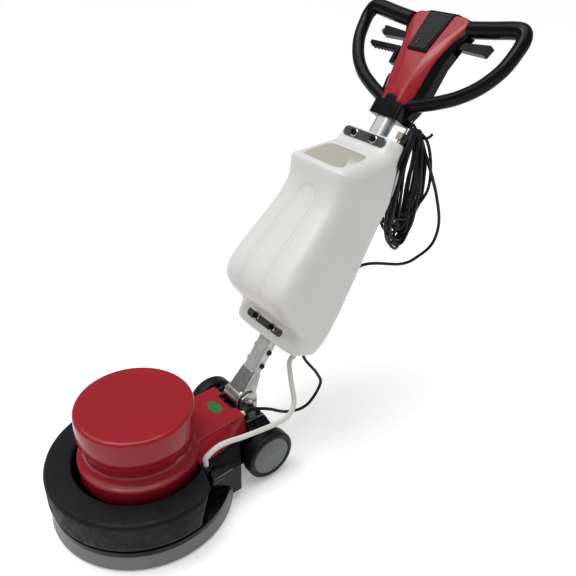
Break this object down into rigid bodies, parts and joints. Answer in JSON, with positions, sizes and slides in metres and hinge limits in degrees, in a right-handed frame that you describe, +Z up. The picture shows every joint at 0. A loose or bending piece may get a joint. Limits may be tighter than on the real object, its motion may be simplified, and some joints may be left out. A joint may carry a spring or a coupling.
{
  "type": "rotary floor machine",
  "caption": "Upright rotary floor machine: round weighted deck with motor cover, two wheels, leaning handle tube with solution tank and D-shaped trigger grips.",
  "frame": {"origin": "on the floor under the pad axis", "axes": "+Z up, -Y machine's front, +Y operator's side, +X operator's left"},
  "size_m": [0.51, 1.157, 1.0739],
  "materials": {
    "deck": "moulded black deck",
    "skirt": "grey flexible skirt",
    "weight": "black coated iron",
    "red_cover": "glossy red moulding",
    "badge": "plain green oval",
    "steel": "machined steel",
    "bright_steel": "polished steel",
    "black_steel": "black oxide steel",
    "cast_alloy": "polished cast aluminium",
    "tube_alloy": "satin extruded tube",
    "housing_alloy": "cast motor and gearbox parts",
    "laminations": "varnished lamination steel",
    "copper": "enamelled copper wire",
    "brass": "brass fitting",
    "nylon": "gear nylon",
    "driver": "black pad driver",
    "pad": "non-woven floor pad",
    "tyre": "black rubber tyre",
    "hub_cap": "grey wheel hub",
    "tank": "translucent white moulding",
    "head_red": "glossy red moulding",
    "head_black": "black moulding",
    "button_red": "red push button",
    "hose": "milky flexible tube",
    "cable": "black cable sheath"
  },
  "bodies": {
    "base": {"deck_housing": "deck", "splash_skirt": "skirt", "weight_ring": "weight", "motor_cover": "red_cover", "tail_cover": "red_cover", "cover_badge": "badge", "gearbox_housing": "housing_alloy", "gearbox_cover": "housing_alloy", "ring_gear": "steel", "motor_bearings": "steel", "output_bearing": "steel", "motor_housing": "housing_alloy", "motor_stator": "laminations", "stator_windings": "copper", "motor_end_bell": "housing_alloy", "motor_bolts": "bright_steel", "capacitors": "housing_alloy", "wheel_axle": "steel", "pivot_bracket": "cast_alloy", "bracket_bolts": "black_steel", "pivot_pin": "bright_steel", "lock_sector": "steel", "hose_grommet": "cable", "cable_gland": "nylon"},
    "rotor": {"rotor_shaft": "steel", "rotor_core": "laminations", "sun_gear": "steel", "cooling_fan": "nylon"},
    "pad": {"planet_carrier": "steel", "drive_hub": "steel", "pad_driver": "driver", "floor_pad": "pad"},
    "planet_1": {"planet_gear_1": "nylon"},
    "planet_2": {"planet_gear_2": "nylon"},
    "planet_3": {"planet_gear_3": "nylon"},
    "wheel_left": {"wheel_left_tyre": "tyre", "wheel_left_hub": "hub_cap"},
    "wheel_right": {"wheel_right_tyre": "tyre", "wheel_right_hub": "hub_cap"},
    "handle": {"handle_socket": "cast_alloy", "socket_bolts": "black_steel", "handle_tube": "tube_alloy", "tank_shell": "tank", "tank_straps": "tube_alloy", "strap_bolts": "black_steel", "valve_gland": "brass", "head_housing": "head_black", "head_cover": "head_red", "control_panel": "head_black", "handle_loop": "head_black", "motor_switch": "head_black", "solution_hose": "hose", "motor_cable": "cable", "power_cord": "cable"},
    "lock": {"lock_rod": "steel"},
    "tilt_handle": {"tilt_lever": "head_black"},
    "motor_lever": {"motor_trigger": "head_black"},
    "button": {"safety_button": "button_red"},
    "water_lever": {"water_trigger": "head_black"},
    "valve": {"valve_rod": "steel"}
  },
  "joints": [
    {"name": "handle_tilt", "type": "hinge", "parent": "base", "child": "handle", "pos_m": [0, 0.29, 0.175], "axis": [1, 0, 0], "range_deg": [-40, 35], "deforming": ["solution_hose", "motor_cable"]},
    {"name": "pad_spin", "type": "hinge", "parent": "base", "child": "pad", "pos_m": [0, 0, 0.04], "axis": [0, 0, 1], "continuous": true},
    {"name": "motor_spin", "type": "hinge", "parent": "base", "child": "rotor", "pos_m": [0, 0, 0.17], "axis": [0, 0, 1], "continuous": true},
    {"name": "planet_spin_1", "type": "hinge", "parent": "pad", "child": "planet_1", "pos_m": [0.0405, 0, 0.088], "axis": [0, 0, 1], "continuous": true},
    {"name": "planet_spin_2", "type": "hinge", "parent": "pad", "child": "planet_2", "pos_m": [-0.02025, 0.03507, 0.088], "axis": [0, 0, 1], "continuous": true},
    {"name": "planet_spin_3", "type": "hinge", "parent": "pad", "child": "planet_3", "pos_m": [-0.02025, -0.03507, 0.088], "axis": [0, 0, 1], "continuous": true},
    {"name": "wheel_left_spin", "type": "hinge", "parent": "base", "child": "wheel_left", "pos_m": [0.13, 0.285, 0.0754], "axis": [1, 0, 0], "continuous": true},
    {"name": "wheel_right_spin", "type": "hinge", "parent": "base", "child": "wheel_right", "pos_m": [-0.13, 0.285, 0.0754], "axis": [1, 0, 0], "continuous": true},
    {"name": "tilt_lever_swing", "type": "hinge", "parent": "handle", "child": "tilt_handle", "pos_m": [0.03, 0.8282, 0.94079], "axis": [0, 0.8181, -0.575], "range_deg": [-8, 0]},
    {"name": "lock_slide", "type": "slide", "parent": "handle", "child": "lock", "axis": [0, 0.575, 0.8181], "range_m": [-0.0042, 0]},
    {"name": "motor_trigger_swing", "type": "hinge", "parent": "handle", "child": "motor_lever", "pos_m": [-0.076, 0.88451, 0.99655], "axis": [0, 0.8181, -0.575], "range_deg": [0, 8]},
    {"name": "safety_button_press", "type": "slide", "parent": "motor_lever", "child": "button", "axis": [1, 0, 0], "range_m": [0, 0.004]},
    {"name": "water_trigger_swing", "type": "hinge", "parent": "handle", "child": "water_lever", "pos_m": [0.076, 0.88451, 0.99655], "axis": [0, -0.8181, 0.575], "range_deg": [0, 8]},
    {"name": "valve_slide", "type": "slide", "parent": "handle", "child": "valve", "axis": [0, 0.575, 0.8181], "range_m": [-0.0034, 0]}
  ],
  "couplings": [
    {"joint": "motor_spin", "follows": "pad_spin", "ratio": 9},
    {"joint": "planet_spin_1", "follows": "pad_spin", "ratio": -2.2857},
    {"joint": "planet_spin_2", "follows": "pad_spin", "ratio": -2.2857},
    {"joint": "planet_spin_3", "follows": "pad_spin", "ratio": -2.2857},
    {"joint": "lock_slide", "follows": "tilt_lever_swing", "m_per_rad": 0.03},
    {"joint": "valve_slide", "follows": "water_trigger_swing", "m_per_rad": -0.024}
  ]
}
